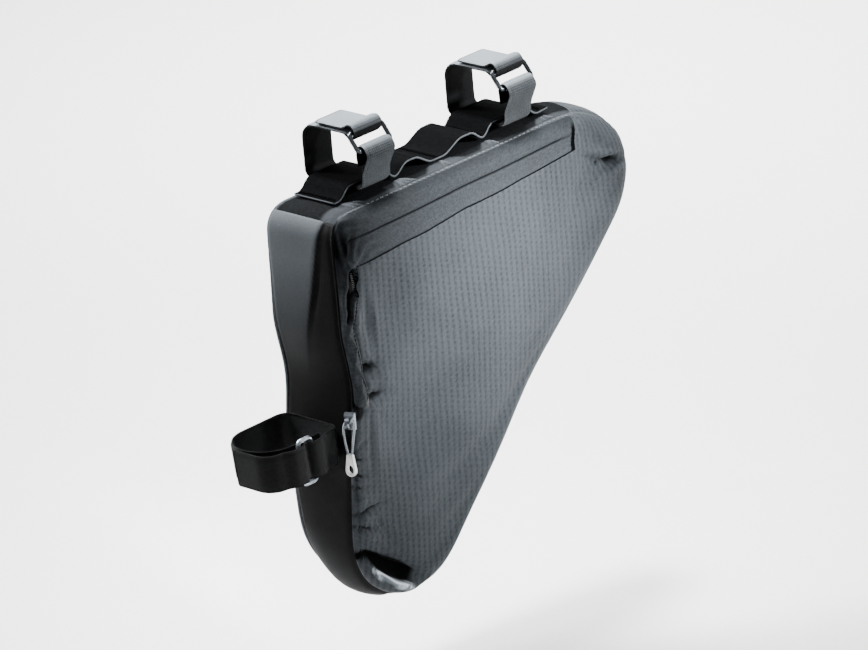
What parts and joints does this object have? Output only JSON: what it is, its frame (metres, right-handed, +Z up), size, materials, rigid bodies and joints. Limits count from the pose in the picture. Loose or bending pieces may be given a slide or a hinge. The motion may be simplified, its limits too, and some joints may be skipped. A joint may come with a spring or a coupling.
{
  "type": "bicycle frame bag",
  "caption": "Soft triangular bag that hangs in the corner of a bicycle frame by straps, with a zip under a flap along its top and rear edge.",
  "frame": {"origin": "inside the top tube that the bag hangs from, in its middle plane, 14 mm above its underside and midway between the top straps", "axes": "+X forward along the top tube, +Z up from the bag to the top tube, -Y towards the side with the zip"},
  "size_m": [0.2881, 0.0612, 0.2626],
  "materials": {
    "ripstop": "dark grey ripstop weave, matte with a faint sheen",
    "gusset_cloth": "near-black satin cloth",
    "flap_cloth": "dark grey plain weave",
    "tape_cloth": "black woven tape with a paler edge",
    "zip_cloth": "black woven zip tape",
    "hook_webbing": "grey looped hook-and-loop webbing",
    "seat_webbing": "black smooth webbing",
    "ring_metal": "gloss gunmetal",
    "slider_metal": "satin black",
    "pull_cord": "grey braided cord",
    "puller_plastic": "pale moulded plastic"
  },
  "bodies": {
    "root": {"right_panel": "ripstop", "left_panel": "ripstop", "rear_gusset": "gusset_cloth", "top_gusset": "gusset_cloth", "front_gusset": "ripstop", "zip_tape": "zip_cloth", "zip_flap": "flap_cloth", "top_tape": "tape_cloth", "strap_top_rear": "hook_webbing", "ring_top_rear": "ring_metal", "strap_top_front": "hook_webbing", "ring_top_front": "ring_metal", "strap_seat": "seat_webbing", "ring_seat": "ring_metal", "zip_slider": "slider_metal", "pull_cord": "pull_cord", "zip_puller": "puller_plastic"}
  },
  "joints": []
}
